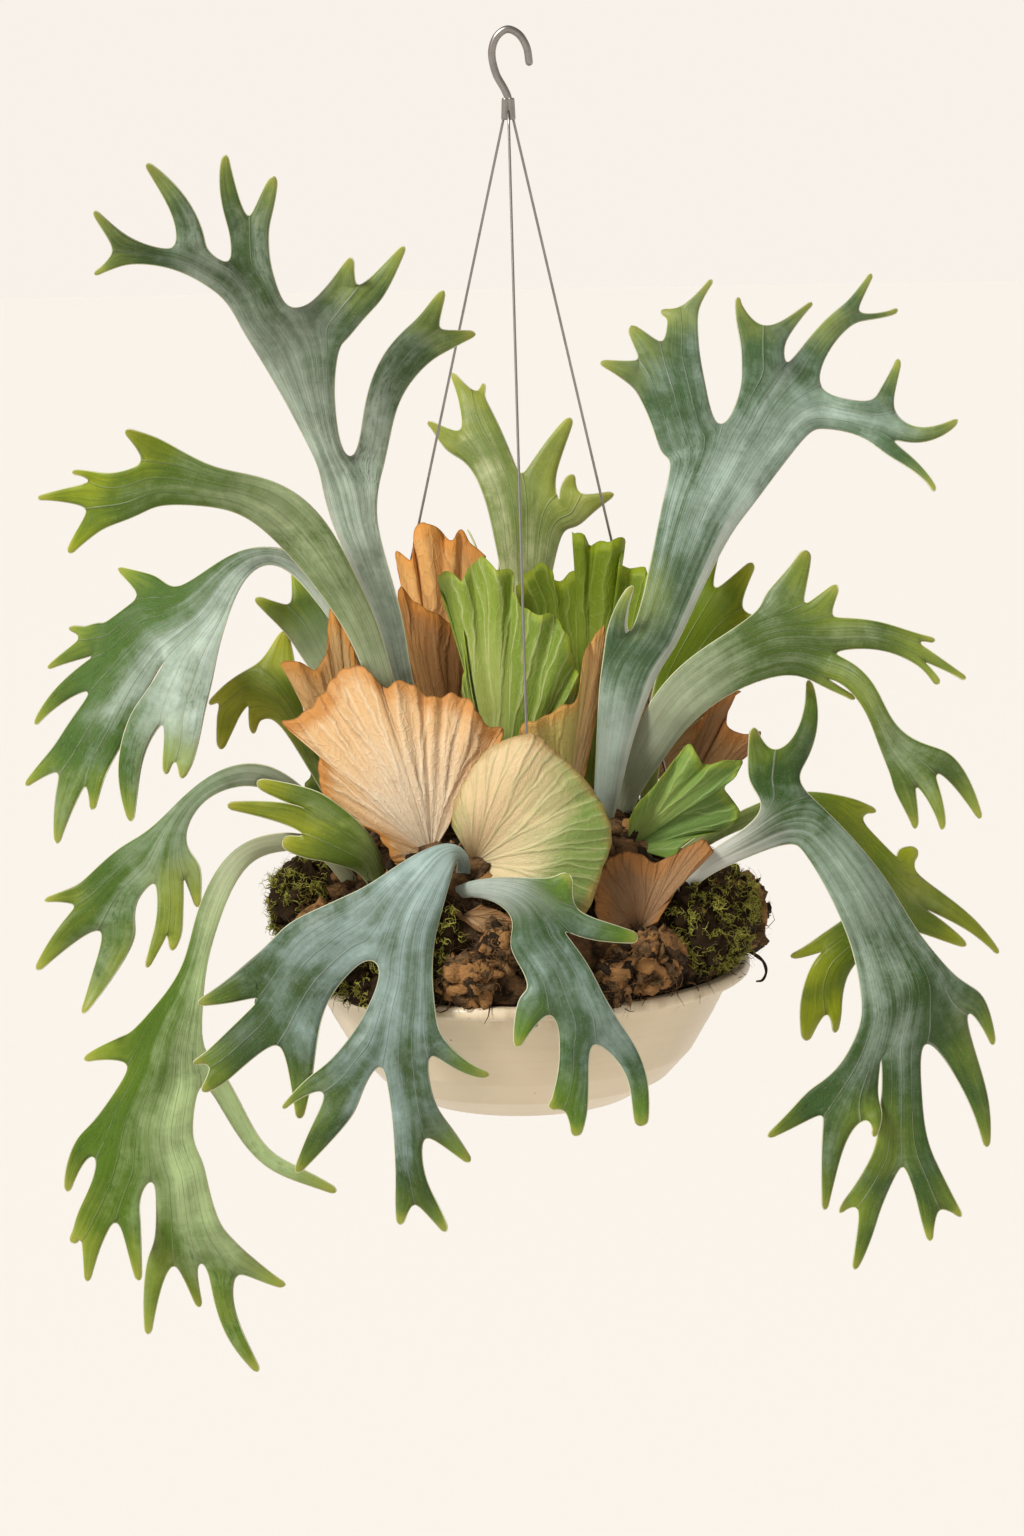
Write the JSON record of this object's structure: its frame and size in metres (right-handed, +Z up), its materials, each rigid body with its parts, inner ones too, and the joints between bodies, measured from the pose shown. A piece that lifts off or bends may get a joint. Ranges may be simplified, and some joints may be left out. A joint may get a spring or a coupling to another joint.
{
  "type": "hanging staghorn fern",
  "caption": "Staghorn fern with forked antler fronds and round shield fronds, in a shallow ceramic bowl hung on wires from a hook.",
  "frame": {"origin": "the seat inside the hook's crook, on the vertical axis of the bowl", "axes": "+Z up along the bowl's axis, -Y towards the side the picture shows, +X to that view's right"},
  "size_m": [0.6548, 0.3485, 0.8895],
  "materials": {
    "steel": "satin",
    "ceramic": "satin",
    "potting_mix": "rough",
    "moss": "rough",
    "bark": "rough",
    "antler": "matte",
    "young_frond": "satin",
    "shield_green": "satin",
    "shield_tan": "matte",
    "shield_brown": "matte"
  },
  "bodies": {
    "root": {"hook": "steel", "ferrule": "steel", "wire_front": "steel", "wire_left": "steel", "wire_right": "steel", "bowl": "ceramic", "root_ball": "potting_mix", "moss_left": "moss", "moss_front_left": "moss", "moss_front_centre": "moss", "moss_right": "moss", "bark_left": "bark", "bark_front_right": "bark", "bark_right": "bark", "coir_front_left": "bark", "coir_front_centre": "bark", "root_chunk_front": "bark", "curled_root_left": "bark", "curled_root_right": "bark", "antler_upper_left": "antler", "antler_left_arch": "antler", "antler_left_droop": "antler", "antler_left_small": "antler", "antler_left_pale": "young_frond", "antler_left_lower": "antler", "antler_left_young": "young_frond", "antler_long_left": "antler", "antler_front_left": "antler", "antler_front_right": "antler", "antler_right_upright": "antler", "antler_right_middle": "antler", "antler_right_lower": "antler", "antler_right_behind": "antler", "antler_right_bright": "young_frond", "antler_centre_back": "antler", "antler_back_low_left": "antler", "antler_back_low_right": "antler", "antler_back_upright": "antler", "antler_back_left": "antler", "shield_tan_left": "shield_tan", "shield_round_front": "shield_green", "shield_ruffled_green": "shield_green", "shield_brown_left": "shield_brown", "shield_orange_upright": "shield_tan", "shield_flap_left": "shield_tan", "shield_tan_centre": "shield_tan", "shield_green_back": "shield_green", "shield_brown_right": "shield_brown", "shield_dried_right": "shield_brown", "shield_tan_under": "shield_tan", "shield_young_right": "shield_green", "shield_back_round": "shield_green", "shield_back_tan": "shield_tan", "shield_back_left": "shield_green", "shield_back_right": "shield_brown"}
  },
  "joints": []
}
